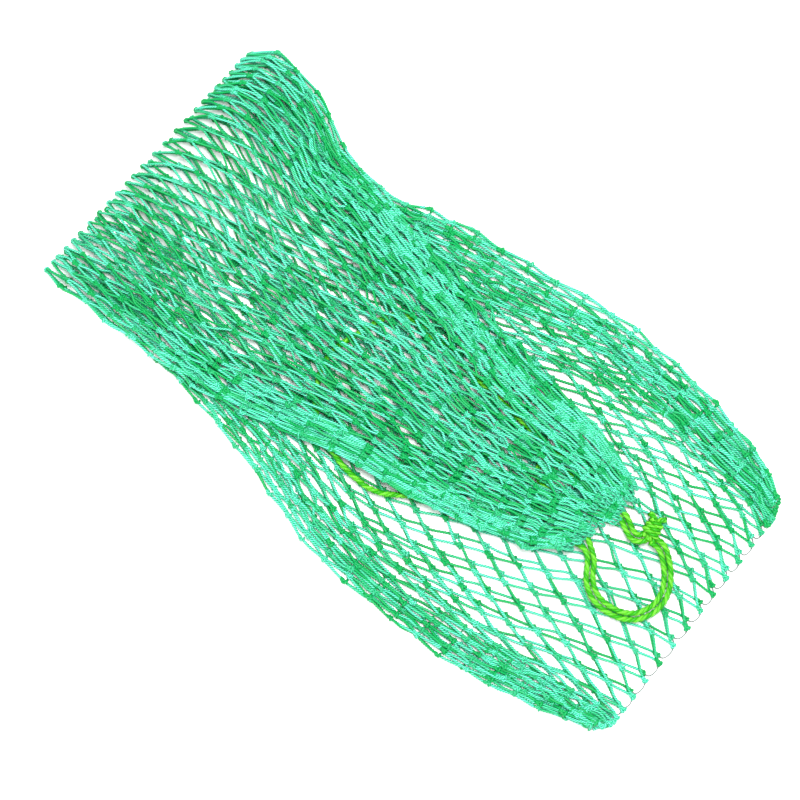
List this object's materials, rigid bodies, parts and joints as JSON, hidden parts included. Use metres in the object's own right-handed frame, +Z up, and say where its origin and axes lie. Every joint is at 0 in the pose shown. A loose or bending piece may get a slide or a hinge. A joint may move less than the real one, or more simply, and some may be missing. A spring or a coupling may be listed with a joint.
{
  "type": "drawstring net bag",
  "caption": "Knotted green twine net bag for fish, laid flat and folded once, with a gathered mouth and a knotted lime drawcord.",
  "frame": {"origin": "on the ground, under the middle of the bag as it lies", "axes": "+X from the fold to the closed bottom end, +Y across the bag, +Z up"},
  "size_m": [0.2917, 0.1536, 0.0156],
  "materials": {
    "netting_twine": "twisted polyethylene twine, slightly glossy",
    "bunched_twine": "the same twine, bunched close and so darker",
    "drawcord_twist": "three-strand twisted cord, slightly glossy"
  },
  "bodies": {
    "bag_base": {"base_underside_netting": "netting_twine", "base_topside_netting": "netting_twine", "base_front_edge_roll": "bunched_twine", "base_rear_edge_roll": "bunched_twine", "bottom_closing_row": "bunched_twine", "bottom_front_corner_bunch": "bunched_twine", "bottom_rear_corner_bunch": "bunched_twine", "fold_lower_half": "netting_twine"},
    "bag_flap": {"fold_upper_half": "netting_twine", "flap_underside_netting": "netting_twine", "flap_topside_netting": "netting_twine", "flap_front_edge_roll": "bunched_twine", "flap_rear_edge_roll": "bunched_twine", "mouth_gather": "bunched_twine"},
    "drawcord": {"drawcord_short_turn": "drawcord_twist", "drawcord_long_turn": "drawcord_twist", "drawcord_knot": "drawcord_twist"}
  },
  "joints": [
    {"name": "flap_unfold", "type": "hinge", "parent": "bag_base", "child": "bag_flap", "pos_m": [-0.1406, 0.001, 0.0078], "axis": [-0.0849, -0.9964, 0], "range_deg": [0, 180]},
    {"name": "drawcord_pull", "type": "slide", "parent": "bag_flap", "child": "drawcord", "axis": [1, 0, 0], "range_m": [0, 0.025]}
  ]
}
